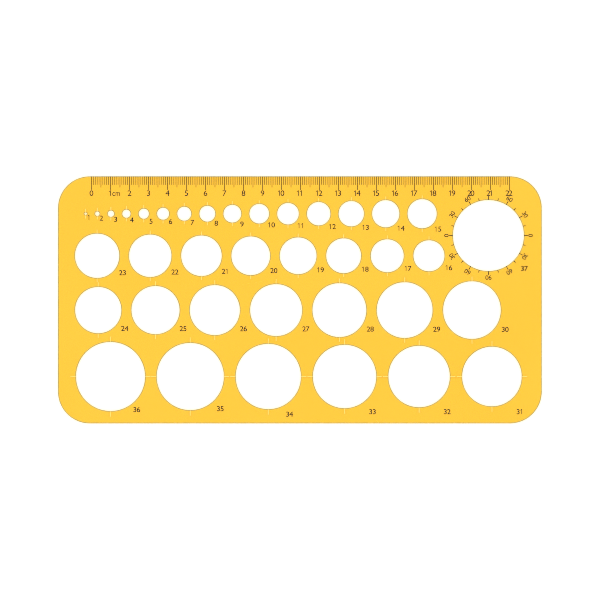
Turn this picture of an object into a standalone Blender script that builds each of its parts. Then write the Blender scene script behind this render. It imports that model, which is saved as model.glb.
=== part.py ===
"""Circle template: one moulded sheet of amber plastic with 37 drawing holes.

The sheet lies flat on z = 0 with its ruler edge towards +Y. The origin is under its middle.
Holes stand in four rows, with the largest one alone in the corner under the end of the ruler.
Every hole is a pencil lead's allowance wider than its nominal size. Fine grooves above and below
each hole point at its centre, so that it can be set on a centre line. In the last row they also
stand at both sides.
"""

import math
from dataclasses import dataclass

import bmesh
import bpy

MM = 0.001

# The sheet
SHEET_LENGTH = 254.6 * MM
SHEET_WIDTH = 130.0 * MM
SHEET_THICKNESS = 1.2 * MM
CORNER_RADIUS = 16.7 * MM

# The holes
PENCIL_ALLOWANCE = 0.3 * MM
PROTRACTOR_HOLE_SIZE = 37
PROTRACTOR_HOLE_FROM_LEFT = 226.55 * MM
PROTRACTOR_HOLE_FROM_RULER_EDGE = 31.13 * MM

# The centring grooves, which are V-shaped and open into their hole
GROOVE_WIDTH = 0.42 * MM
GROOVE_DEPTH = 0.12 * MM
GROOVE_RUNOUT = 0.25 * MM
GROOVE_CLEARANCE = 0.05 * MM
ABOVE_AND_BELOW = (90, 270)
ALL_ROUND = (0, 90, 180, 270)

# Round edges are chords that stay this near to the true arc
CHORD_ERROR = 0.03 * MM
FEWEST_CHORDS = 12

WELD_DISTANCE = 0.001 * MM
SHARP_ANGLE = math.radians(30)

# Amber plastic
AMBER = (1.0, 0.62, 0.055, 1.0)
AMBER_ROUGHNESS = 0.18


@dataclass(frozen=True)
class HoleRow:
    """A row of holes on one line, from left to right.

    Neighbours have a web of material between their nominal sizes. In some rows each web is a
    little wider than the one before it. The grooves are short enough that those of two neighbours
    don't meet.
    """

    sizes: range
    from_left: float
    from_ruler_edge: float
    web: float
    groove_length: float
    web_growth: float = 0.0
    groove_angles: tuple = ABOVE_AND_BELOW


@dataclass(frozen=True)
class Hole:
    """One drawing hole: its nominal diameter, its centre, and its grooves' length and directions."""

    size: int
    x: float
    y: float
    groove_length: float = 0.0
    groove_angles: tuple = ()

    @property
    def radius(self):
        return (self.size * MM + PENCIL_ALLOWANCE) / 2


ROWS = (
    HoleRow(range(1, 16), 14.56 * MM, 19.65 * MM, web=4.65 * MM, groove_length=1.95 * MM),
    HoleRow(range(23, 15, -1), 20.60 * MM, 41.79 * MM, web=5.45 * MM, groove_length=2.1 * MM),
    HoleRow(
        range(24, 31),
        21.17 * MM,
        70.38 * MM,
        web=5.66 * MM,
        groove_length=2.55 * MM,
        web_growth=0.05 * MM,
    ),
    HoleRow(
        range(36, 30, -1),
        27.64 * MM,
        105.34 * MM,
        web=6.48 * MM,
        groove_length=2.95 * MM,
        web_growth=0.085 * MM,
        groove_angles=ALL_ROUND,
    ),
)


def clear_scene():
    for obj in list(bpy.data.objects):
        bpy.data.objects.remove(obj, do_unlink=True)


def holes_of(row):
    """Places a row's holes: neighbours stand half of each size and one web apart."""
    x = row.from_left - SHEET_LENGTH / 2
    y = SHEET_WIDTH / 2 - row.from_ruler_edge
    web = row.web
    holes = []
    for size in row.sizes:
        if holes:
            x += (holes[-1].size + size) / 2 * MM + web
            web += row.web_growth
        holes.append(Hole(size, x, y, row.groove_length, row.groove_angles))
    return holes


def protractor_hole():
    """The largest hole, whose printed angle scale stands in for the centring grooves."""
    x = PROTRACTOR_HOLE_FROM_LEFT - SHEET_LENGTH / 2
    y = SHEET_WIDTH / 2 - PROTRACTOR_HOLE_FROM_RULER_EDGE
    return Hole(PROTRACTOR_HOLE_SIZE, x, y)


def chords_in_circle(radius):
    """The number of chords, a multiple of four, that keeps a circle within CHORD_ERROR."""
    widest = 2 * math.acos(1 - CHORD_ERROR / radius)
    return max(FEWEST_CHORDS, 4 * math.ceil(2 * math.pi / widest / 4))


def circle_points(x, y, radius):
    """A closed ring of points, turned so that the middle of a chord faces each groove."""
    count = chords_in_circle(radius)
    step = 2 * math.pi / count
    angles = [(i + 0.5) * step for i in range(count)]
    return [(x + radius * math.cos(a), y + radius * math.sin(a)) for a in angles]


def outline_points():
    """The sheet's outline: a rectangle with round corners, anticlockwise from the right."""
    across = SHEET_LENGTH / 2 - CORNER_RADIUS
    up = SHEET_WIDTH / 2 - CORNER_RADIUS
    corners = ((across, up), (-across, up), (-across, -up), (across, -up))
    chords = chords_in_circle(CORNER_RADIUS) // 4
    points = []
    for quarter, (x, y) in enumerate(corners):
        for i in range(chords + 1):
            angle = (quarter + i / chords) * math.pi / 2
            points.append((x + CORNER_RADIUS * math.cos(angle), y + CORNER_RADIUS * math.sin(angle)))
    return points


def add_loop(curve, points):
    """Adds a closed run of straight chords to a flat curve."""
    spline = curve.splines.new("POLY")
    spline.points.add(len(points) - 1)
    spline.use_cyclic_u = True
    for target, (x, y) in zip(spline.points, points):
        target.co = (x, y, 0.0, 1.0)


def amber_plastic():
    material = bpy.data.materials.new("amber_plastic")
    material.use_nodes = True
    shader = material.node_tree.nodes["Principled BSDF"]
    shader.inputs["Base Color"].default_value = AMBER
    shader.inputs["Roughness"].default_value = AMBER_ROUGHNESS
    shader.inputs["Metallic"].default_value = 0.0
    return material


def pierced_plate_mesh(holes):
    """Extrudes the outline with all its holes to the sheet's thickness, standing on z = 0."""
    curve = bpy.data.curves.new("sheet_outline", "CURVE")
    curve.dimensions = "2D"
    curve.fill_mode = "BOTH"
    curve.extrude = SHEET_THICKNESS / 2
    add_loop(curve, outline_points())
    for hole in holes:
        add_loop(curve, circle_points(hole.x, hole.y, hole.radius))
    guide = bpy.data.objects.new("sheet_outline", curve)
    bpy.context.scene.collection.objects.link(guide)
    graph = bpy.context.evaluated_depsgraph_get()
    mesh = bpy.data.meshes.new_from_object(guide.evaluated_get(graph))
    bpy.data.objects.remove(guide, do_unlink=True)

    work = bmesh.new()
    work.from_mesh(mesh)
    bmesh.ops.remove_doubles(work, verts=work.verts, dist=WELD_DISTANCE)
    bmesh.ops.translate(work, verts=work.verts, vec=(0.0, 0.0, SHEET_THICKNESS / 2))
    bmesh.ops.recalc_face_normals(work, faces=work.faces)
    work.to_mesh(mesh)
    work.free()
    mesh.name = "template_sheet"
    return mesh


def add_groove(work, hole, angle):
    """Adds one V-shaped cutting wedge, which starts inside the hole and points away from it."""
    along = (math.cos(angle), math.sin(angle))
    across = (-along[1], along[0])
    top = SHEET_THICKNESS + GROOVE_CLEARANCE
    slope = GROOVE_WIDTH / 2 / GROOVE_DEPTH
    half_top = slope * (GROOVE_DEPTH + GROOVE_CLEARANCE)
    profile = ((0.0, SHEET_THICKNESS - GROOVE_DEPTH), (half_top, top), (-half_top, top))
    ends = (hole.radius - GROOVE_RUNOUT, hole.radius + hole.groove_length)
    rings = []
    for distance in ends:
        ring = []
        for side, height in profile:
            x = hole.x + along[0] * distance + across[0] * side
            y = hole.y + along[1] * distance + across[1] * side
            ring.append(work.verts.new((x, y, height)))
        rings.append(ring)
    near, far = rings
    work.faces.new(near)
    work.faces.new(reversed(far))
    for i in range(len(profile)):
        j = (i + 1) % len(profile)
        work.faces.new((near[j], near[i], far[i], far[j]))


def groove_cutter(holes):
    """One hidden cutter for all the centring grooves."""
    mesh = bpy.data.meshes.new("groove_cutter")
    work = bmesh.new()
    for hole in holes:
        for degrees in hole.groove_angles:
            add_groove(work, hole, math.radians(degrees))
    bmesh.ops.recalc_face_normals(work, faces=work.faces)
    work.to_mesh(mesh)
    work.free()
    cutter = bpy.data.objects.new("groove_cutter", mesh)
    bpy.context.scene.collection.objects.link(cutter)
    cutter.hide_render = True
    cutter.display_type = "WIRE"
    return cutter


def build_template_sheet():
    grooved = [hole for row in ROWS for hole in holes_of(row)]
    mesh = pierced_plate_mesh(grooved + [protractor_hole()])
    mesh.materials.clear()
    mesh.materials.append(amber_plastic())
    sheet = bpy.data.objects.new("template_sheet", mesh)
    bpy.context.scene.collection.objects.link(sheet)

    engrave = sheet.modifiers.new("centring_grooves", "BOOLEAN")
    engrave.operation = "DIFFERENCE"
    engrave.solver = "EXACT"
    engrave.object = groove_cutter(grooved)

    mesh.shade_smooth()
    mesh.set_sharp_from_angle(angle=SHARP_ANGLE)
    return sheet


def main():
    clear_scene()
    build_template_sheet()


main()
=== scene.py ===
"""Circle template: the looks of a clear amber drawing sheet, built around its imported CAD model.

The CAD sheet gives the outline and the heights. This script lays a finer sheet in its place, with
truly round holes, rounded rims and engraved centring marks, and prints the ruler, the hole sizes
and the angle scale on it as thin films of ink. The sheet lies on a white table in a studio.

Lengths are in metres, in the frame of the CAD model: +X runs along the ruler, +Y points to the
ruler edge and +Z comes out of the printed face.
"""

import logging
import math
from collections.abc import Iterator, Sequence
from contextlib import contextmanager
from dataclasses import dataclass, field
from enum import Enum

import bmesh
import bpy
from mathutils import Matrix, Vector


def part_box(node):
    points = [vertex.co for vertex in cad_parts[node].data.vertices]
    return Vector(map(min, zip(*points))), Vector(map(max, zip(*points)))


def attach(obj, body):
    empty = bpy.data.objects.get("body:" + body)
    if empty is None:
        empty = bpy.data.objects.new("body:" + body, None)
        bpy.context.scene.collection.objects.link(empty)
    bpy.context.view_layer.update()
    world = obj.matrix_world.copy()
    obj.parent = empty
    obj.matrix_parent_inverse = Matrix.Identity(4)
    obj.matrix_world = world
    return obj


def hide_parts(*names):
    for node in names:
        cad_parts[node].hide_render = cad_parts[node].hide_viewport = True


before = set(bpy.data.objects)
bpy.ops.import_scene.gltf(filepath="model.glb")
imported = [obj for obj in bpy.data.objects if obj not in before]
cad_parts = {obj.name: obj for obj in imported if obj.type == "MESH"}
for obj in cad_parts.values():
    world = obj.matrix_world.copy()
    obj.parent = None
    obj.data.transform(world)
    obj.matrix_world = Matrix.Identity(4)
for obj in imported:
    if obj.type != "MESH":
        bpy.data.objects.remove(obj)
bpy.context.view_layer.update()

LOG = logging.getLogger("circle_template")

MM = 0.001
CM = 10 * MM
QUARTER_TURN = 90
HALF_TURN = 180
FULL_TURN = 360

PENCIL_ALLOWANCE = 0.3 * MM
PLASTIC_REFRACTION = 1.49

ROUND_PROFILE = 0.5
WELD_DISTANCE = 0.001 * MM
SAME_PLACE = 0.01 * MM

CAD_NODE = "template_sheet"
BODY = "root"

Colour = tuple[float, float, float, float]
Socket = bpy.types.NodeSocket
Piece = bpy.types.Object


# ---- Shader maths ----


class Shade:
    """A number in a shader tree, on which Python's operators add Math nodes."""

    def __init__(self, graph: "ShaderGraph", socket: Socket) -> None:
        """Wrap an output socket of a graph's node."""
        self.graph = graph
        self.socket = socket

    def __add__(self, other: "Shade | float") -> "Shade":
        """Return the sum of two numbers."""
        return self.graph.maths("ADD", self, other)

    __radd__ = __add__

    def __sub__(self, other: "Shade | float") -> "Shade":
        """Return this number less another."""
        return self.graph.maths("SUBTRACT", self, other)

    def __rsub__(self, other: float) -> "Shade":
        """Return a plain number less this one."""
        return self.graph.maths("SUBTRACT", other, self)

    def __mul__(self, other: "Shade | float") -> "Shade":
        """Return the product of two numbers."""
        return self.graph.maths("MULTIPLY", self, other)

    __rmul__ = __mul__

    def above(self, threshold: float, softness: float) -> "Shade":
        """Return a mask that rises from 0 to 1 past a threshold.

        Args:
            threshold: The value at which the mask starts to rise.
            softness: How far past the threshold the mask is full.

        Returns:
            The mask, smooth at both ends.
        """
        inputs = {"Value": self, "From Min": threshold, "From Max": threshold + softness}
        smooth = {"interpolation_type": "SMOOTHSTEP"}
        ramp = self.graph.node("ShaderNodeMapRange", smooth, inputs)
        return Shade(self.graph, ramp.outputs["Result"])


@dataclass(frozen=True)
class Pattern:
    """Solid noise: its features per metre, its finer layers and its stretch along each axis.

    The threshold and the softness are those of the mask that is made of it, where one is.
    """

    scale: float
    detail: float = 2.0
    stretch: tuple[float, float, float] = (1.0, 1.0, 1.0)
    threshold: float = 0.0
    softness: float = 1.0


class ShaderGraph:
    """The node tree of one material, which ends in a Principled BSDF."""

    def __init__(self, name: str) -> None:
        """Start a material of a name, with an empty tree."""
        self.material = bpy.data.materials.new(name)
        self.material.use_nodes = True
        self.tree = self.material.node_tree
        self.tree.nodes.clear()
        self.places = self.node("ShaderNodeTexCoord").outputs["Object"]

    def node(
        self,
        kind: str,
        settings: dict[str, object] | None = None,
        inputs: dict[str, object] | None = None,
    ) -> bpy.types.Node:
        """Add a node.

        Args:
            kind: The node's type.
            settings: Its properties, set before its sockets.
            inputs: Values or links for its sockets, by name or by index as text.

        Returns:
            The new node.
        """
        node = self.tree.nodes.new(kind)
        for key, value in (settings or {}).items():
            setattr(node, key, value)
        for key, value in (inputs or {}).items():
            socket = node.inputs[int(key)] if key.isdigit() else node.inputs[key]
            if isinstance(value, Shade):
                self.tree.links.new(value.socket, socket)
            elif isinstance(value, Socket):
                self.tree.links.new(value, socket)
            else:
                socket.default_value = value
        return node

    def maths(self, operation: str, first: "Shade | float", second: "Shade | float") -> Shade:
        """Add a Math node and return its result."""
        node = self.node("ShaderNodeMath", {"operation": operation}, {"0": first, "1": second})
        return Shade(self, node.outputs["Value"])

    def noise(self, pattern: Pattern, turn: float = 0.0) -> Shade:
        """Add solid noise on the piece.

        Args:
            pattern: The noise to add.
            turn: An angle about Z, in radians, by which it is turned before it is stretched.

        Returns:
            The noise, near 0.5 on average.
        """
        scale = tuple(1 / factor for factor in pattern.stretch)
        inputs = {"Vector": self.places, "Rotation": (0.0, 0.0, turn), "Scale": scale}
        mapped = self.node("ShaderNodeMapping", {"vector_type": "TEXTURE"}, inputs)
        inputs = {
            "Vector": mapped.outputs["Vector"],
            "Scale": pattern.scale,
            "Detail": pattern.detail,
        }
        return Shade(self, self.node("ShaderNodeTexNoise", None, inputs).outputs["Fac"])

    def mask(self, pattern: Pattern, turn: float = 0.0) -> Shade:
        """Return the noise's parts above its threshold, as a mask from 0 to 1."""
        return self.noise(pattern, turn).above(pattern.threshold, pattern.softness)

    def blend(self, amount: Shade, low: Colour, high: Colour) -> Socket:
        """Blend two colours by a number between 0 and 1.

        Args:
            amount: 0 for the low colour, 1 for the high one.
            low: The colour at 0.
            high: The colour at 1.

        Returns:
            The blended colour's socket.
        """
        mix = self.node("ShaderNodeMix", {"data_type": "RGBA"}, {"0": amount, "6": low, "7": high})
        return mix.outputs[2]

    def bump(self, height: Shade, distance: float, strength: float = 1.0) -> Socket:
        """Turn a height into a bumped normal.

        Args:
            height: The relief, 0 to 1.
            distance: The relief's full height, in metres.
            strength: How much of it shows.

        Returns:
            The normal's socket.
        """
        inputs = {"Height": height, "Distance": distance, "Strength": strength}
        return self.node("ShaderNodeBump", None, inputs).outputs["Normal"]

    def principled(self, inputs: dict[str, object]) -> Socket:
        """Add a Principled BSDF with values or links for its sockets, and return its shader."""
        return self.node("ShaderNodeBsdfPrincipled", None, inputs).outputs["BSDF"]

    def pass_light(self, surface: Socket, tint: Colour) -> Socket:
        """Let light on its way to what lies below go straight through, in a colour.

        Args:
            surface: The shader that is seen.
            tint: What one face lets through of the light.

        Returns:
            The mixed shader's socket.
        """
        paths = self.node("ShaderNodeLightPath")
        window = self.node("ShaderNodeBsdfTransparent", None, {"Color": tint}).outputs["BSDF"]
        for path in ("Is Shadow Ray", "Is Diffuse Ray"):
            inputs = {"0": paths.outputs[path], "1": surface, "2": window}
            surface = self.node("ShaderNodeMixShader", None, inputs).outputs["Shader"]
        return surface

    def finished(self, surface: Socket) -> bpy.types.Material:
        """End the tree in a shader and return the material."""
        self.node("ShaderNodeOutputMaterial", None, {"Surface": surface})
        return self.material

    def plastic(
        self, inputs: dict[str, object], clearness: float, tint: Colour
    ) -> bpy.types.Material:
        """End the tree in clear plastic and return the material.

        Args:
            inputs: Values or links for the Principled BSDF's sockets.
            clearness: How much of the light goes into the plastic, 0 to 1.
            tint: What one face lets through of the light for what lies below.

        Returns:
            The material.
        """
        clear = {"IOR": PLASTIC_REFRACTION, "Transmission Weight": clearness}
        return self.finished(self.pass_light(self.principled({**inputs, **clear}), tint))


# ---- Finishes ----


@dataclass(frozen=True)
class ClearAmber:
    """Polished amber plastic that shows the table through it, with faint handling marks."""

    slot: str = "amber_plastic"
    amber: Colour = (1.0, 0.716, 0.124, 1.0)
    deep_amber: Colour = (1.0, 0.697, 0.106, 1.0)
    light_tint: Colour = (1.0, 0.86, 0.36, 1.0)
    clearness: float = 0.92
    roughness: float = 0.05
    smudge_roughness: float = 0.05
    scratch_roughness: float = 0.20
    ripple_height: float = 0.02 * MM
    scratch_depth: float = 0.003 * MM
    scratch_turns: tuple[float, ...] = (0.15, 1.1, 2.3)
    cloud: Pattern = Pattern(14.0, threshold=0.3, softness=0.4)
    smudge: Pattern = Pattern(55.0, 4.0, (1.0, 1.6, 1.0), threshold=0.45, softness=0.3)
    ripple: Pattern = Pattern(30.0, 1.0)
    scratched_patch: Pattern = Pattern(38.0, 1.0, threshold=0.52, softness=0.12)
    hairline: Pattern = Pattern(60.0, 2.0, (0.5, 42.0, 1.0), threshold=0.70, softness=0.05)

    def scratches(self, graph: ShaderGraph) -> Shade:
        """Return a mask of sparse hairlines that run three ways across the sheet."""
        patches = graph.mask(self.scratched_patch)
        lines: Shade | float = 0.0
        for turn in self.scratch_turns:
            lines = graph.mask(self.hairline, turn) + lines
        return lines * patches

    def material(self) -> bpy.types.Material:
        """Return the plastic's material."""
        graph = ShaderGraph("clear_amber")
        cloud = graph.mask(self.cloud)
        smudge = graph.mask(self.smudge)
        scratch = self.scratches(graph)
        relief = graph.noise(self.ripple) - scratch * (self.scratch_depth / self.ripple_height)
        dulled = smudge * self.smudge_roughness + scratch * self.scratch_roughness
        inputs = {
            "Base Color": graph.blend(cloud, self.amber, self.deep_amber),
            "Roughness": dulled + self.roughness,
            "Normal": graph.bump(relief, self.ripple_height),
        }
        return graph.plastic(inputs, self.clearness, self.light_tint)


@dataclass(frozen=True)
class CutWall:
    """The upright walls of the sheet and its holes, a deep amber with the mould's fine grain."""

    amber: Colour = (0.86, 0.40, 0.02, 1.0)
    deep_amber: Colour = (0.72, 0.30, 0.012, 1.0)
    light_tint: Colour = (1.0, 0.87, 0.36, 1.0)
    clearness: float = 0.45
    roughness: float = 0.18
    grain_roughness: float = 0.25
    grain_height: float = 0.01 * MM
    grain_strength: float = 0.6
    grain: Pattern = Pattern(900.0, 2.0, (1.0, 1.0, 6.0))

    def material(self) -> bpy.types.Material:
        """Return the walls' material."""
        graph = ShaderGraph("wall_amber")
        grain = graph.noise(self.grain)
        inputs = {
            "Base Color": graph.blend(grain, self.amber, self.deep_amber),
            "Roughness": grain * self.grain_roughness + self.roughness,
            "Normal": graph.bump(grain, self.grain_height, self.grain_strength),
        }
        return graph.plastic(inputs, self.clearness, self.light_tint)


@dataclass(frozen=True)
class RoundedRim:
    """The rounded rims, painted a darker, duller amber: painted shade for the thin dull line where
    the plastic turns the light away.
    """

    # Both colours are darker than the face's amber to paint the rim's shade; the wear mask varies
    # them at random.
    amber: Colour = (0.54, 0.40, 0.10, 1.0)
    deep_amber: Colour = (0.47, 0.345, 0.085, 1.0)
    light_tint: Colour = (1.0, 0.87, 0.36, 1.0)
    clearness: float = 0.15
    roughness: float = 0.16
    worn_roughness: float = 0.25
    wear: Pattern = Pattern(260.0, 3.0, threshold=0.4, softness=0.3)

    def material(self) -> bpy.types.Material:
        """Return the rims' material, whose darker amber is painted shade."""
        graph = ShaderGraph("rim_amber_painted_shade")
        worn = graph.mask(self.wear)
        inputs = {
            "Base Color": graph.blend(worn, self.deep_amber, self.amber),
            "Roughness": worn * self.worn_roughness + self.roughness,
        }
        return graph.plastic(inputs, self.clearness, self.light_tint)


@dataclass(frozen=True)
class EngravedMark:
    """The inside of a centring mark, pale and frosted where the cutter scored the plastic."""

    pale: Colour = (0.92, 0.65, 0.125, 1.0)
    paler: Colour = (0.96, 0.72, 0.195, 1.0)
    roughness: float = 0.55
    grain_roughness: float = 0.2
    grain_height: float = 0.01 * MM
    grain_strength: float = 0.5
    grain: Pattern = Pattern(2500.0)

    def material(self) -> bpy.types.Material:
        """Return the marks' material."""
        graph = ShaderGraph("scored_amber")
        grain = graph.noise(self.grain)
        inputs = {
            "Base Color": graph.blend(grain, self.pale, self.paler),
            "Roughness": grain * self.grain_roughness + self.roughness,
            "Normal": graph.bump(grain, self.grain_height, self.grain_strength),
        }
        return graph.finished(graph.principled(inputs))


@dataclass(frozen=True)
class PrintedInk:
    """Screen-printed ink, dark brown and a little uneven where the screen's mesh shows."""

    slot: str = "printed_ink"
    ink: Colour = (0.012, 0.008, 0.003, 1.0)
    thin_ink: Colour = (0.034, 0.021, 0.005, 1.0)
    light_tint: Colour = (0.92, 0.90, 0.88, 1.0)
    roughness: float = 0.45
    speckle_roughness: float = 0.15
    shine: float = 0.22
    relief_height: float = 0.004 * MM
    relief_strength: float = 0.6
    speckle: Pattern = Pattern(5200.0, threshold=0.55, softness=0.25)
    speckle_share: float = 0.6
    patch: Pattern = Pattern(160.0, threshold=0.5, softness=0.3)
    patch_share: float = 0.4

    def material(self) -> bpy.types.Material:
        """Return the ink's material."""
        graph = ShaderGraph("brown_ink")
        speckle = graph.noise(self.speckle)
        thin_speckle = speckle.above(self.speckle.threshold, self.speckle.softness)
        thinness = thin_speckle * self.speckle_share + graph.mask(self.patch) * self.patch_share
        inputs = {
            "Base Color": graph.blend(thinness, self.ink, self.thin_ink),
            "Roughness": speckle * self.speckle_roughness + self.roughness,
            "Specular IOR Level": self.shine,
            "Normal": graph.bump(speckle, self.relief_height, self.relief_strength),
        }
        return graph.finished(graph.pass_light(graph.principled(inputs), self.light_tint))


@dataclass(frozen=True)
class WhiteTable:
    """A matt white table top."""

    white: Colour = (0.92, 0.92, 0.92, 1.0)
    roughness: float = 0.75

    def material(self) -> bpy.types.Material:
        """Return the table's material."""
        graph = ShaderGraph("white_table")
        inputs = {"Base Color": self.white, "Roughness": self.roughness}
        return graph.finished(graph.principled(inputs))


# ---- Modelling by hand ----


def pick_only(piece: Piece) -> None:
    """Deselect everything, then select one object and make it active."""
    bpy.ops.object.select_all(action="DESELECT")
    piece.select_set(True)
    bpy.context.view_layer.objects.active = piece


@contextmanager
def editing(piece: Piece) -> Iterator[bmesh.types.BMesh]:
    """Open a piece in edit mode with nothing selected, and close it again.

    Args:
        piece: The object to edit.

    Yields:
        Its edit mesh, in which faces, edges and points are picked by place.
    """
    pick_only(piece)
    bpy.ops.object.mode_set(mode="EDIT")
    bpy.ops.mesh.select_all(action="DESELECT")
    yield bmesh.from_edit_mesh(piece.data)
    bpy.ops.object.mode_set(mode="OBJECT")


def pick_points(
    piece: Piece, mesh: bmesh.types.BMesh, chosen: Sequence[bmesh.types.BMVert]
) -> None:
    """Select some points of a piece in edit mode, and nothing else.

    Args:
        piece: The object that is being edited.
        mesh: Its edit mesh.
        chosen: The points to select.
    """
    bpy.ops.mesh.select_all(action="DESELECT")
    bpy.ops.mesh.select_mode(type="VERT")
    for point in chosen:
        point.select_set(True)
    mesh.select_flush(True)
    bmesh.update_edit_mesh(piece.data)


def pick_all() -> None:
    """Select the whole mesh in edit mode."""
    bpy.ops.mesh.select_all(action="SELECT")


def face_outwards() -> None:
    """Turn all faces of the mesh in edit mode outwards."""
    pick_all()
    bpy.ops.mesh.normals_make_consistent(inside=False)


def raise_solid(height: float) -> None:
    """Raise the flat shape in edit mode to a closed solid of a height."""
    pick_all()
    bpy.ops.mesh.extrude_region_move(TRANSFORM_OT_translate={"value": (0.0, 0.0, height)})
    face_outwards()


def apply_modifier(piece: Piece, kind: str, settings: dict[str, object]) -> None:
    """Add a modifier to a piece and apply it at once.

    Args:
        piece: The object.
        kind: The modifier's type.
        settings: Its properties.
    """
    modifier = piece.modifiers.new(kind.lower(), kind)
    for key, value in settings.items():
        setattr(modifier, key, value)
    pick_only(piece)
    bpy.ops.object.modifier_apply(modifier=modifier.name)


def join(pieces: Sequence[Piece]) -> Piece:
    """Join several objects into the first one.

    Args:
        pieces: The objects, of which there is at least one.

    Returns:
        The first object, which now holds them all.
    """
    pick_only(pieces[0])
    for piece in pieces:
        piece.select_set(True)
    if len(pieces) > 1:
        bpy.ops.object.join()
    return pieces[0]


def settle(piece: Piece) -> None:
    """Move a piece's place, turn and scale into its mesh."""
    pick_only(piece)
    bpy.ops.object.transform_apply(location=True, rotation=True, scale=True)


def copy_at(piece: Piece, place: Matrix) -> Piece:
    """Copy a piece together with its mesh and set the copy in its place.

    Args:
        piece: The pattern piece, which stays as it is.
        place: The move and turn that bring the pattern to the copy's place.

    Returns:
        The copy, with its place in its mesh.
    """
    copy = piece.copy()
    copy.data = piece.data.copy()
    copy.data.transform(place)
    bpy.context.scene.collection.objects.link(copy)
    return copy


def discard(*pieces: Piece) -> None:
    """Remove patterns or cutters that have done their work."""
    for piece in pieces:
        bpy.data.objects.remove(piece, do_unlink=True)


def turned(x: float, y: float, z: float, angle: float) -> Matrix:
    """Return a turn about Z, in radians, followed by a move."""
    return Matrix.Translation((x, y, z)) @ Matrix.Rotation(angle, 4, "Z")


def finish_piece(piece: Piece, name: str) -> Piece:
    """Name a finished piece, fix it to the sheet's body and report it.

    Args:
        piece: The finished object.
        name: Its name.

    Returns:
        The same object.
    """
    settle(piece)
    piece.name = name
    piece.data.name = name
    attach(piece, BODY)
    LOG.info("%s: %d points, %d faces", name, len(piece.data.vertices), len(piece.data.polygons))
    return piece


# ---- Where the holes are ----


@dataclass(frozen=True)
class NumeralPlace:
    """Where a row prints its size numerals, measured from each hole's centre.

    The numeral's left edge and its middle both move outwards as the holes grow. A few numerals
    stand a little off that rule, by a nudge to the right and down.
    """

    right: float
    down: float
    right_per_size: float = 0.0
    down_per_size: float = 0.0
    nudges: dict[int, tuple[float, float]] = field(default_factory=dict)

    def left_middle(self, size: int) -> tuple[float, float]:
        """Return how far right and up of a hole's centre its numeral's left edge has its middle."""
        nudge_right, nudge_down = self.nudges.get(size, (0.0, 0.0))
        right = self.right + self.right_per_size * size * MM + nudge_right
        down = self.down + self.down_per_size * size * MM + nudge_down
        return right, -down


@dataclass(frozen=True)
class Hole:
    """One drawing hole."""

    size: int
    centre: Vector
    numeral: NumeralPlace
    mark_length: float = 0.0
    mark_quarters: tuple[int, ...] = ()

    @property
    def radius(self) -> float:
        """Return the hole's real radius, with room for a pencil lead."""
        return (self.size * MM + PENCIL_ALLOWANCE) / 2


# The directions of a hole's marks, in quarter turns from +X
ABOVE_AND_BELOW = (1, 3)
ALL_ROUND = (0, 1, 2, 3)


@dataclass(frozen=True)
class HoleRow:
    """A row of holes on one line, from left to right, with webs of plastic between them."""

    sizes: range
    from_left: float
    from_ruler_edge: float
    web: float
    mark_length: float
    numeral: NumeralPlace
    web_growth: float = 0.0
    mark_quarters: tuple[int, ...] = ABOVE_AND_BELOW


@dataclass
class HoleLayout:
    """Places every hole on the sheet, from the sheet's own left end and ruler edge."""

    left: float
    ruler_edge: float
    rows: tuple[HoleRow, ...] = (
        HoleRow(
            sizes=range(1, 16),
            from_left=14.56 * MM,
            from_ruler_edge=19.65 * MM,
            web=4.65 * MM,
            mark_length=1.95 * MM,
            numeral=NumeralPlace(
                right=0.75 * MM,
                down=1.5 * MM,
                right_per_size=0.375,
                down_per_size=0.44,
                nudges={
                    1: (-0.3 * MM, 0.0),
                    2: (-0.3 * MM, -0.05 * MM),
                    3: (-0.3 * MM, 0.15 * MM),
                    4: (-0.35 * MM, 0.0),
                    5: (0.25 * MM, 0.3 * MM),
                },
            ),
        ),
        HoleRow(
            sizes=range(23, 15, -1),
            from_left=20.60 * MM,
            from_ruler_edge=41.79 * MM,
            web=5.45 * MM,
            mark_length=2.1 * MM,
            numeral=NumeralPlace(1.55 * MM, 0.34 * MM, right_per_size=0.435, down_per_size=0.373),
        ),
        HoleRow(
            sizes=range(24, 31),
            from_left=21.17 * MM,
            from_ruler_edge=70.38 * MM,
            web=5.66 * MM,
            web_growth=0.05 * MM,
            mark_length=2.55 * MM,
            numeral=NumeralPlace(-1.7 * MM, 7.6 * MM, right_per_size=0.573, down_per_size=0.085),
        ),
        HoleRow(
            sizes=range(36, 30, -1),
            from_left=27.64 * MM,
            from_ruler_edge=105.34 * MM,
            web=6.48 * MM,
            web_growth=0.085 * MM,
            mark_length=2.95 * MM,
            mark_quarters=ALL_ROUND,
            numeral=NumeralPlace(
                right=12.8 * MM,
                down=18.5 * MM,
                nudges={
                    34: (-3.6 * MM, 1.3 * MM),
                    35: (1.1 * MM, -1.6 * MM),
                    36: (-0.9 * MM, -1.1 * MM),
                },
            ),
        ),
    )
    largest: int = 37
    largest_from_left: float = 226.55 * MM
    largest_from_ruler_edge: float = 31.13 * MM
    largest_numeral: NumeralPlace = NumeralPlace(16.95 * MM, 17.35 * MM)

    def row_holes(self) -> list[Hole]:
        """Return the holes of all rows: neighbours stand half of each size and one web apart."""
        holes: list[Hole] = []
        for row in self.rows:
            x = self.left + row.from_left
            web = row.web
            before = 0
            for size in row.sizes:
                if before:
                    x += (before + size) / 2 * MM + web
                    web += row.web_growth
                before = size
                centre = Vector((x, self.ruler_edge - row.from_ruler_edge, 0.0))
                holes.append(Hole(size, centre, row.numeral, row.mark_length, row.mark_quarters))
        return holes

    def largest_hole(self) -> Hole:
        """Return the hole that stands alone in the angle scale, and so has no engraved marks."""
        x = self.left + self.largest_from_left
        y = self.ruler_edge - self.largest_from_ruler_edge
        return Hole(self.largest, Vector((x, y, 0.0)), self.largest_numeral)

    def all_holes(self) -> list[Hole]:
        """Return every hole of the sheet."""
        return [*self.row_holes(), self.largest_hole()]


# ---- The sheet ----


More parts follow.
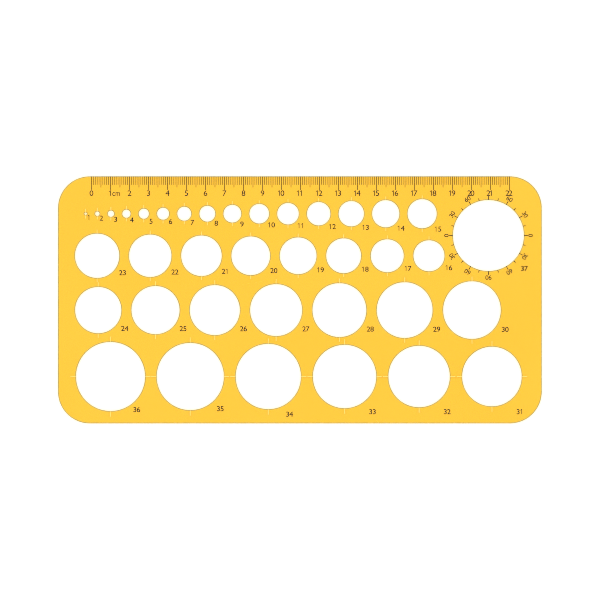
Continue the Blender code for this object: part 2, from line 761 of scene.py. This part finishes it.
class SheetSurface(Enum):
    """The sheet's kinds of surface, each numbered as its material slot."""

    FACE = 0
    WALL = 1
    RIM = 2
    MARK = 3


@dataclass(frozen=True)
class Rim:
    """The quarter round at every edge of the sheet, made of flat steps."""

    radius: float = 0.45 * MM
    segments: int = 3

    def line(self, step: int) -> tuple[float, float]:
        """Find a line of the rim.

        Args:
            step: 0 for the line that borders the face, rising to the last one at the wall.

        Returns:
            Its distance from the sheet's edge, and how far it lies below the face.
        """
        angle = step / self.segments * math.pi / 2
        return self.radius * (1 - math.sin(angle)), self.radius * (1 - math.cos(angle))


@dataclass
class MouldedSheet:
    """The plastic sheet: a plate with round corners, pierced, softened at its rims and engraved."""

    low: Vector
    high: Vector
    layout: HoleLayout
    rim: Rim
    corner_radius: float = 16.7 * MM
    corner_segments: int = 28
    chord_error: float = 0.003 * MM
    punch_reach: float = 3.0
    flat_slope: float = 0.999
    upright_slope: float = 0.001
    mark_width: float = 0.42 * MM
    mark_depth: float = 0.12 * MM
    mark_headroom: float = 0.04 * MM
    mark_runout: float = 0.25 * MM
    rim_angle: float = math.radians(60)
    smooth_angle: float = math.radians(35)
    normal_weight: int = 100

    @property
    def thickness(self) -> float:
        """Return the sheet's thickness."""
        return self.high.z - self.low.z

    def build(self) -> Piece:
        """Build and dress the sheet in place of its CAD node."""
        sheet = self.blank()
        self.pierce(sheet)
        self.soften(sheet)
        self.dress(sheet)
        self.engrave(sheet)
        pick_only(sheet)
        bpy.ops.object.shade_smooth_by_angle(angle=self.smooth_angle)
        evening = {"mode": "FACE_AREA", "weight": self.normal_weight, "keep_sharp": True}
        apply_modifier(sheet, "WEIGHTED_NORMAL", evening)
        finish_piece(sheet, "moulded_sheet")
        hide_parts(CAD_NODE)
        return sheet

    def blank(self) -> Piece:
        """Return the plain sheet: a rectangle with rounded corners, raised to its thickness."""
        middle = (self.low + self.high) / 2
        size = self.high - self.low
        bpy.ops.mesh.primitive_plane_add(size=1.0, location=(middle.x, middle.y, self.low.z))
        sheet = bpy.context.active_object
        with editing(sheet):
            pick_all()
            bpy.ops.transform.resize(value=(size.x, size.y, 1.0))
            bpy.ops.mesh.bevel(
                offset=self.corner_radius,
                segments=self.corner_segments,
                profile=ROUND_PROFILE,
                affect="VERTICES",
            )
            raise_solid(self.thickness)
        settle(sheet)
        return sheet

    def chords(self, radius: float) -> int:
        """Return how many chords keep a circle true, in steps of four."""
        widest = 2 * math.acos(1 - self.chord_error / radius)
        return 4 * math.ceil(2 * math.pi / widest / 4)

    def pierce(self, sheet: Piece) -> None:
        """Cut every hole through the sheet with one set of punches, longer than it is thick."""
        punches = []
        for hole in self.layout.all_holes():
            bpy.ops.mesh.primitive_cylinder_add(
                vertices=self.chords(hole.radius),
                radius=hole.radius,
                depth=self.punch_reach * self.thickness,
                location=(hole.centre.x, hole.centre.y, self.low.z + self.thickness / 2),
            )
            punches.append(bpy.context.active_object)
        self.cut(sheet, join(punches))

    def cut(self, sheet: Piece, cutter: Piece) -> None:
        """Take a closed cutter away from the sheet, and discard it."""
        settle(cutter)
        settings = {"operation": "DIFFERENCE", "solver": "EXACT", "object": cutter}
        apply_modifier(sheet, "BOOLEAN", settings)
        discard(cutter)

    def soften(self, sheet: Piece) -> None:
        """Round every rim a little, inside the holes and along the outline."""
        settings = {
            "width": self.rim.radius,
            "segments": self.rim.segments,
            "limit_method": "ANGLE",
            "angle_limit": self.rim_angle,
            "use_clamp_overlap": False,
        }
        apply_modifier(sheet, "BEVEL", settings)

    def dress(self, sheet: Piece) -> None:
        """Give the flat faces, the rims and the later marks their materials."""
        sheet.data.materials.clear()
        # The rims' finish paints their shade into a darker amber.
        for finish in (ClearAmber(), CutWall(), RoundedRim(), EngravedMark()):
            sheet.data.materials.append(finish.material())
        for face in sheet.data.polygons:
            slope = abs(face.normal.z)
            surface = SheetSurface.RIM
            if slope > self.flat_slope:
                surface = SheetSurface.FACE
            elif slope < self.upright_slope:
                surface = SheetSurface.WALL
            face.material_index = surface.value

    def mark_cutter(self, length: float) -> Piece:
        """Return a V-shaped cutter that lies along +X and rises at its far end.

        Args:
            length: How far the mark reaches out of its hole.

        Returns:
            The cutter, with the hole's edge at x = 0 and the sheet's face at z = 0.
        """
        height = self.mark_depth + self.mark_headroom
        width = self.mark_width * height / self.mark_depth
        whole = length + self.mark_runout
        bpy.ops.mesh.primitive_cube_add(size=1.0)
        cutter = bpy.context.active_object
        with editing(cutter) as mesh:
            pick_all()
            bpy.ops.transform.resize(value=(whole, width, height))
            bpy.ops.transform.translate(
                value=(whole / 2 - self.mark_runout, 0.0, height / 2 - self.mark_depth)
            )
            pick_points(cutter, mesh, [point for point in mesh.verts if point.co.z < 0])
            bpy.ops.transform.resize(value=(1.0, 0.0, 1.0))
            pick_all()
            bpy.ops.mesh.remove_doubles(threshold=WELD_DISTANCE)
        with editing(cutter) as mesh:
            far = [point for point in mesh.verts if point.co.z < 0 < point.co.x]
            pick_points(cutter, mesh, far)
            bpy.ops.transform.translate(value=(-self.mark_depth, 0.0, 0.0))
            face_outwards()
        return cutter

    def engrave(self, sheet: Piece) -> None:
        """Score the centring marks at the rims of the holes."""
        patterns: dict[float, Piece] = {}
        cutters = []
        for hole in self.layout.row_holes():
            if hole.mark_length not in patterns:
                patterns[hole.mark_length] = self.mark_cutter(hole.mark_length)
            for quarter in hole.mark_quarters:
                angle = quarter * math.pi / 2
                place = turned(hole.centre.x, hole.centre.y, self.high.z, angle)
                out = Matrix.Translation((hole.radius, 0.0, 0.0))
                cutters.append(copy_at(patterns[hole.mark_length], place @ out))
        discard(*patterns.values())
        cutter = join(cutters)
        for material in sheet.data.materials:
            cutter.data.materials.append(material)
        for face in cutter.data.polygons:
            face.material_index = SheetSurface.MARK.value
        self.cut(sheet, cutter)


# ---- The print ----


@dataclass(frozen=True)
class InkFilm:
    """How thick the ink lies on the sheet, and how far it is let into the face to join it."""

    face: float
    proud: float = 0.015 * MM
    sunk: float = 0.005 * MM

    @property
    def thickness(self) -> float:
        """Return the film's whole thickness."""
        return self.proud + self.sunk

    @property
    def bottom(self) -> float:
        """Return the height of the film's underside."""
        return self.face - self.sunk


class Print:
    """What all printed marks share: the ink, the film, and strokes with round corners."""

    END_ROUNDING = 0.45
    END_SEGMENTS = 3

    def __init__(self, film: InkFilm, rim: Rim) -> None:
        """Keep the film that marks are made of and the rim they run down, and mix the ink."""
        self.film = film
        self.rim = rim
        self.ink = PrintedInk().material()

    def stroke(self, length: float, width: float) -> Piece:
        """Return a straight stroke of ink along +X, which starts on the rim of an edge at x = 0.

        Args:
            length: How far from the edge the stroke ends, with round corners.
            width: Its width.

        Returns:
            The stroke, at the film's height.
        """
        lines = [self.rim.line(step) for step in range(self.rim.segments)]
        start = lines[-1][0]
        bpy.ops.mesh.primitive_plane_add(size=1.0)
        stroke = bpy.context.active_object
        with editing(stroke) as mesh:
            pick_all()
            bpy.ops.transform.resize(value=(length - start, width, 1.0))
            bpy.ops.transform.translate(value=((length + start) / 2, 0.0, self.film.bottom))
            pick_points(stroke, mesh, [point for point in mesh.verts if point.co.x > length / 2])
            bpy.ops.mesh.bevel(
                offset=width * self.END_ROUNDING,
                segments=self.END_SEGMENTS,
                profile=ROUND_PROFILE,
                affect="VERTICES",
            )
            for distance, _ in lines[:-1]:
                pick_all()
                bpy.ops.mesh.bisect(plane_co=(distance, 0.0, 0.0), plane_no=(1.0, 0.0, 0.0))
            raise_solid(self.film.thickness)
        for distance, drop in lines[1:]:
            self.lower(stroke, distance, drop)
        return stroke

    def lower(self, stroke: Piece, distance: float, drop: float) -> None:
        """Lower the points of a stroke at one distance from the edge onto the rim."""
        with editing(stroke) as mesh:
            near = [point for point in mesh.verts if abs(point.co.x - distance) < SAME_PLACE]
            pick_points(stroke, mesh, near)
            bpy.ops.transform.translate(value=(0.0, 0.0, -drop))

    def finish(self, marks: Sequence[Piece], name: str) -> Piece:
        """Join marks into one printed piece and ink it.

        Args:
            marks: The marks, each a closed film.
            name: The piece's name.

        Returns:
            The piece.
        """
        piece = join(marks)
        piece.data.materials.clear()
        piece.data.materials.append(self.ink)
        pick_only(piece)
        bpy.ops.object.shade_flat()
        return finish_piece(piece, name)


@dataclass
class NumeralPress:
    """Sets numbers in one height and weight, each character in a cell of the same width."""

    print_work: Print
    height: float
    cell: float
    boldness: float = 0.0
    breadth: float = 1.08
    letter_breadth: float = 0.83
    one_stem: float = 0.125
    one_shoulder: float = 1.1
    one_flag_reach: float = 0.21
    one_flag_fall: float = 0.17
    curve_steps: int = 3
    text_half_depth: float = 0.5
    text_weld: float = 0.0001
    glyphs: dict[str, Piece] = field(default_factory=dict)

    def glyph(self, character: str) -> Piece:
        """Return the pattern of one character, made when it is first needed.

        Args:
            character: A digit or a small letter.

        Returns:
            The pattern, with the middle of its cell at x = 0 and its foot at y = 0.
        """
        if character not in self.glyphs:
            made = self.flagged_one() if character == "1" else self.typeface(character)
            self.glyphs[character] = made
        return self.glyphs[character]

    def text_mesh(self, character: str) -> Piece:
        """Return a character of the built-in typeface as a closed film, one unit thick."""
        bpy.ops.object.text_add()
        text = bpy.context.active_object
        text.data.body = character
        text.data.resolution_u = self.curve_steps
        text.data.render_resolution_u = self.curve_steps
        text.data.extrude = self.text_half_depth
        bpy.ops.object.convert(target="MESH")
        text = bpy.context.active_object
        with editing(text):
            pick_all()
            bpy.ops.mesh.remove_doubles(threshold=self.text_weld)
            bpy.ops.mesh.normals_make_consistent(inside=False)
            bpy.ops.transform.shrink_fatten(value=self.boldness, use_even_offset=True)
        return text

    def typeface(self, character: str) -> Piece:
        """Return a character of the built-in typeface, brought to the press's height."""
        ruling = self.text_mesh("7")
        tall = max(point.co.y for point in ruling.data.vertices)
        discard(ruling)
        glyph = self.text_mesh(character)
        across = [point.co.x for point in glyph.data.vertices]
        middle = (min(across) + max(across)) / 2
        scale = self.height / tall
        film = self.print_work.film
        breadth = self.breadth if character.isdigit() else self.letter_breadth
        fit = Matrix.Diagonal((scale * breadth, scale, film.thickness, 1.0))
        lift = Matrix.Translation((0.0, 0.0, film.bottom + film.thickness / 2))
        glyph.data.transform(lift @ fit @ Matrix.Translation((-middle, 0.0, 0.0)))
        return glyph

    def flagged_one(self) -> Piece:
        """Return a 1 with a short sloping flag, drawn out of the top of its stem."""
        stem = self.one_stem * self.height
        fall = self.one_flag_fall * self.height
        reach = self.one_flag_reach * self.height
        shoulder = self.height - stem * self.one_shoulder
        bpy.ops.mesh.primitive_plane_add(size=1.0)
        one = bpy.context.active_object
        with editing(one) as mesh:
            pick_all()
            bpy.ops.transform.resize(value=(stem, self.height, 1.0))
            bpy.ops.transform.translate(value=(0.0, self.height / 2, self.print_work.film.bottom))
            bpy.ops.mesh.bisect(plane_co=(0.0, shoulder, 0.0), plane_no=(0.0, 1.0, 0.0))
            top = [point for point in mesh.verts if point.co.y > shoulder - SAME_PLACE]
            pick_points(one, mesh, [point for point in top if point.co.x < 0])
            bpy.ops.mesh.extrude_edges_move(TRANSFORM_OT_translate={"value": (-reach, -fall, 0.0)})
            raise_solid(self.print_work.film.thickness)
        return one

    def number(self, text: str, x: float, y: float, turn: float = 0.0) -> list[Piece]:
        """Set a number.

        Args:
            text: The number's digits.
            x: The middle of the number's cells, along X.
            y: The middle of its height, along Y.
            turn: The direction of its foot line, in radians from +X.

        Returns:
            One copy of a pattern for each digit.
        """
        place = turned(x, y, 0.0, turn)
        copies = []
        for index, character in enumerate(text):
            along = (index - (len(text) - 1) / 2) * self.cell
            shift = Matrix.Translation((along, -self.height / 2, 0.0))
            copies.append(copy_at(self.glyph(character), place @ shift))
        return copies

    def width(self, text: str) -> float:
        """Return how wide a number's cells are, from the first to the last."""
        return self.cell * len(text)

    def put_away(self) -> None:
        """Discard the patterns."""
        discard(*self.glyphs.values())
        self.glyphs.clear()


class RulerMark(Enum):
    """The ruler's three kinds of mark, with the length of each."""

    MILLIMETRE = 4.5 * MM
    HALF_CENTIMETRE = 5.9 * MM
    CENTIMETRE = 7.2 * MM

    @property
    def width(self) -> float:
        """Return the mark's width."""
        return 0.25 * MM if self is RulerMark.MILLIMETRE else 0.30 * MM


@dataclass
class Ruler:
    """The ruler along the sheet's upper edge: its marks and its numerals."""

    print_work: Print
    left: float
    edge: float
    zero_from_left: float = 17.64 * MM
    centimetres: int = 22
    numeral_height: float = 2.85 * MM
    numeral_cell: float = 1.62 * MM
    numeral_middle: float = 8.85 * MM
    two_digits_left: float = 0.32 * MM
    numeral_boldness: float = 0.004
    unit_letters: tuple[tuple[str, float], ...] = (("c", 1.62 * MM), ("m", 3.86 * MM))

    @property
    def zero(self) -> float:
        """Return the place of the ruler's zero along X."""
        return self.left + self.zero_from_left

    def marks(
        self, kind: RulerMark, first: float, runs: Sequence[tuple[int, float]], name: str
    ) -> None:
        """Print all marks of one kind.

        Args:
            kind: Which mark to print.
            first: The first mark's distance from zero.
            runs: For each level of repetition, the number of copies and their pitch.
            name: The piece's name.
        """
        stroke = self.print_work.stroke(kind.value, kind.width)
        stroke.data.transform(turned(self.zero + first, self.edge, 0.0, -math.pi / 2))
        for count, pitch in runs:
            settings = {
                "count": count,
                "use_relative_offset": False,
                "use_constant_offset": True,
                "constant_offset_displace": (pitch, 0.0, 0.0),
            }
            apply_modifier(stroke, "ARRAY", settings)
        self.print_work.finish([stroke], name)

    def numerals(self) -> None:
        """Print a numeral under each centimetre mark, and the unit after the first."""
        press = NumeralPress(
            self.print_work, self.numeral_height, self.numeral_cell, self.numeral_boldness
        )
        y = self.edge - self.numeral_middle
        copies = []
        for centimetre in range(self.centimetres + 1):
            text = str(centimetre)
            x = self.zero + centimetre * CM
            if len(text) > 1:
                x -= self.two_digits_left
            copies += press.number(text, x, y)
        for letter, after_one in self.unit_letters:
            copies += press.number(letter, self.zero + CM + after_one, y)
        self.print_work.finish(copies, "ruler_numerals")
        press.put_away()

    def build(self) -> None:
        """Print the whole ruler."""
        half = CM / 2
        each_half = ((4, MM), (2 * self.centimetres, half))
        self.marks(RulerMark.MILLIMETRE, MM, each_half, "ruler_millimetre_marks")
        each = ((self.centimetres, CM),)
        self.marks(RulerMark.HALF_CENTIMETRE, half, each, "ruler_half_centimetre_marks")
        each_and_last = ((self.centimetres + 1, CM),)
        self.marks(RulerMark.CENTIMETRE, 0.0, each_and_last, "ruler_centimetre_marks")
        self.numerals()


@dataclass
class HoleSizes:
    """The size numeral at the lower right of every hole."""

    print_work: Print
    layout: HoleLayout
    height: float = 2.62 * MM
    cell: float = 1.90 * MM
    boldness: float = 0.008

    def build(self) -> None:
        """Print every hole's size."""
        press = NumeralPress(self.print_work, self.height, self.cell, self.boldness)
        copies = []
        for hole in self.layout.all_holes():
            right, up = hole.numeral.left_middle(hole.size)
            text = str(hole.size)
            x = hole.centre.x + right + press.width(text) / 2
            copies += press.number(text, x, hole.centre.y + up)
        self.print_work.finish(copies, "hole_size_numerals")
        press.put_away()


class AngleMark(Enum):
    """The angle scale's two kinds of mark, with the length of each."""

    SHORT = 1.55 * MM
    LONG = 2.15 * MM


@dataclass
class AngleScale:
    """The scale of angles round the largest hole, which stands the numerals outwards."""

    print_work: Print
    hole: Hole
    step: int = 15
    long_step: int = 30
    mark_width: float = 0.38 * MM
    numeral_height: float = 2.3 * MM
    numeral_cell: float = 1.65 * MM
    numeral_radius: float = 22.15 * MM
    numeral_boldness: float = 0.006
    unlabelled: int = 90

    def spoke(self, degrees: float, radius: float) -> Matrix:
        """Return the place at a radius on a spoke of the hole, turned along the spoke."""
        angle = math.radians(degrees)
        x = self.hole.centre.x + radius * math.cos(angle)
        y = self.hole.centre.y + radius * math.sin(angle)
        return turned(x, y, 0.0, angle)

    def marks(self) -> None:
        """Print a mark at every step, long where a numeral belongs."""
        patterns = {kind: self.print_work.stroke(kind.value, self.mark_width) for kind in AngleMark}
        copies = []
        for degrees in range(0, FULL_TURN, self.step):
            kind = AngleMark.SHORT if degrees % self.long_step else AngleMark.LONG
            place = self.spoke(degrees, self.hole.radius)
            copies.append(copy_at(patterns[kind], place))
        discard(*patterns.values())
        self.print_work.finish(copies, "angle_scale_marks")

    def numerals(self) -> None:
        """Print the angle from the horizontal at each long mark but the top one."""
        press = NumeralPress(
            self.print_work, self.numeral_height, self.numeral_cell, self.numeral_boldness
        )
        copies = []
        for degrees in range(0, FULL_TURN, self.long_step):
            if degrees == self.unlabelled:
                continue
            folded = degrees % HALF_TURN
            angle = min(folded, HALF_TURN - folded)
            place = self.spoke(degrees, self.numeral_radius).to_translation()
            foot_line = math.radians(degrees - QUARTER_TURN)
            copies += press.number(str(angle), place.x, place.y, foot_line)
        self.print_work.finish(copies, "angle_scale_numerals")
        press.put_away()

    def build(self) -> None:
        """Print the whole scale."""
        self.marks()
        self.numerals()


# ---- The studio ----


@dataclass(frozen=True)
class SoftLight:
    """A large square lamp that faces the sheet."""

    name: str
    place: tuple[float, float, float]
    side: float
    power: float

    def hang(self) -> None:
        """Hang the lamp and turn it to the origin."""
        bpy.ops.object.light_add(type="AREA", location=self.place)
        lamp = bpy.context.active_object
        lamp.name = self.name
        lamp.data.shape = "SQUARE"
        lamp.data.size = self.side
        lamp.data.energy = self.power
        lamp.rotation_euler = (-Vector(self.place)).to_track_quat("-Z", "Y").to_euler()


@dataclass
class Studio:
    """A white table, an even pale surround, soft lamps and a long lens straight above the sheet."""

    face: float
    view_width: float = 315.7 * MM
    lens: float = 200.0
    sensor: float = 36.0
    aim: tuple[float, float] = (0.07 * MM, -0.08 * MM)
    sharpness: float = 1.0
    farthest: float = 20.0
    table_side: float = 6.0
    table_drop: float = 0.1 * MM
    surround: Colour = (1.0, 1.0, 1.0, 1.0)
    surround_strength: float = 0.8
    lamps: tuple[SoftLight, ...] = (
        SoftLight("key_light", (-0.80, 0.60, 1.80), 1.0, 9.6),
        SoftLight("fill_light", (0.90, 0.45, 1.75), 1.1, 7.0),
        SoftLight("back_light", (0.10, -1.05, 1.70), 1.0, 5.2),
    )

    def build(self) -> None:
        """Set up the table, the light and the camera."""
        self.table()
        self.light()
        self.camera()

    def table(self) -> None:
        """Lay a wide table top just under the sheet."""
        place = (0.0, 0.0, -self.table_drop)
        bpy.ops.mesh.primitive_plane_add(size=self.table_side, location=place)
        table = bpy.context.active_object
        table.name = "table"
        table.data.materials.append(WhiteTable().material())

    def light(self) -> None:
        """Light the sheet evenly from all round, with a soft key from the upper left."""
        world = bpy.data.worlds.new("surround")
        world.use_nodes = True
        background = world.node_tree.nodes["Background"]
        background.inputs["Color"].default_value = self.surround
        background.inputs["Strength"].default_value = self.surround_strength
        bpy.context.scene.world = world
        for lamp in self.lamps:
            lamp.hang()
        bpy.context.scene.view_settings.view_transform = "Standard"

    def camera(self) -> None:
        """Look straight down on the sheet, with the ruler at the top of the picture."""
        distance = self.view_width * self.lens / self.sensor
        place = (*self.aim, self.face + distance)
        bpy.ops.object.camera_add(location=place, rotation=(0.0, 0.0, 0.0))
        camera = bpy.context.active_object
        camera.name = "camera"
        camera.data.lens = self.lens
        camera.data.sensor_width = self.sensor
        camera.data.clip_end = self.farthest
        bpy.context.scene.camera = camera
        bpy.context.scene.cycles.filter_width = self.sharpness


def main() -> None:
    """Build the studio, the sheet and its print."""
    logging.basicConfig(level=logging.INFO, format="%(name)s: %(message)s")
    low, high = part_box(CAD_NODE)
    layout = HoleLayout(left=low.x, ruler_edge=high.y)
    Studio(face=high.z).build()
    rim = Rim()
    MouldedSheet(low, high, layout, rim).build()
    print_work = Print(InkFilm(face=high.z), rim)
    Ruler(print_work, left=low.x, edge=high.y).build()
    HoleSizes(print_work, layout).build()
    AngleScale(print_work, layout.largest_hole()).build()


if __name__ == "__main__":
    main()
